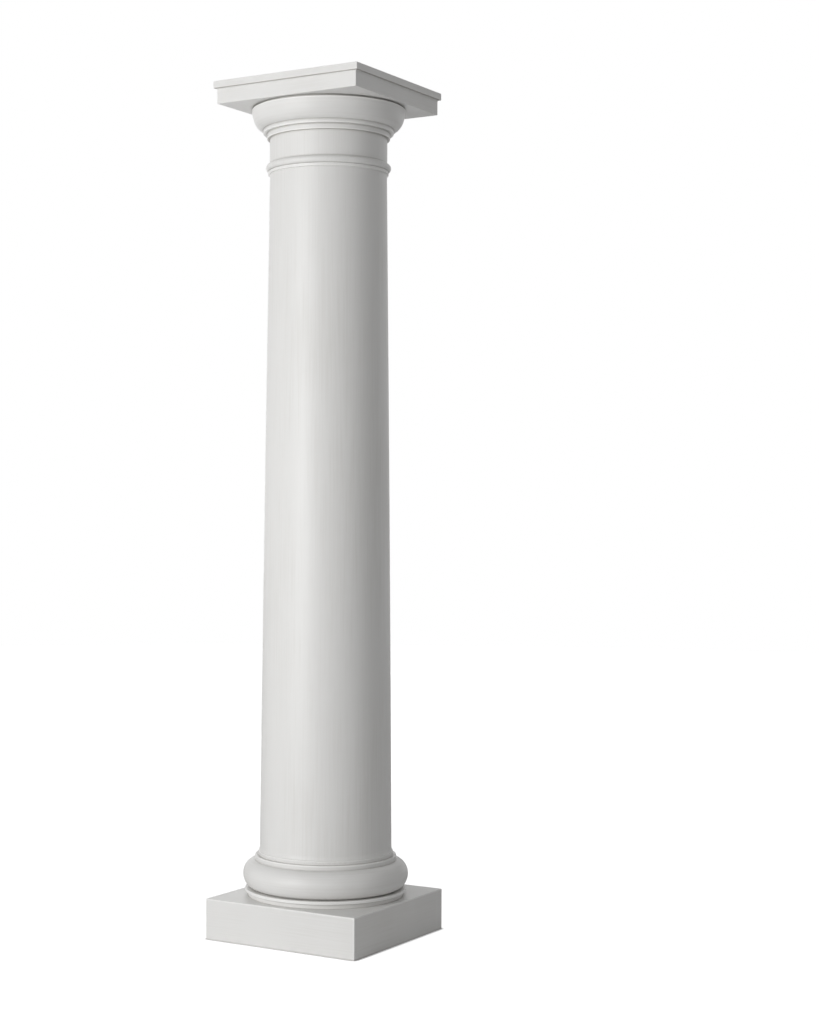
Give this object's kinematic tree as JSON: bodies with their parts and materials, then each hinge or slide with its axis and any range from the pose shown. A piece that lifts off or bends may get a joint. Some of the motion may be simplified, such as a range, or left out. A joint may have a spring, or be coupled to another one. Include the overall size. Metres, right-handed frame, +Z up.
{
  "type": "column",
  "caption": "Plain round column with a tapered hollow shaft, turned base and capital mouldings, square plinth and square abacus, painted white",
  "frame": {"origin": "On the column's axis, in the plane of the floor that the plinth stands on", "axes": "+Z is up along the column's axis; +X and +Y are square to the sides of the plinth and of the abacus"},
  "size_m": [0.494, 0.494, 2.44],
  "materials": {
    "white_paint": "satin white paint"
  },
  "bodies": {
    "root": {"plinth": "white_paint", "base_ring": "white_paint", "shaft": "white_paint", "capital_ring": "white_paint", "abacus": "white_paint"}
  },
  "joints": []
}
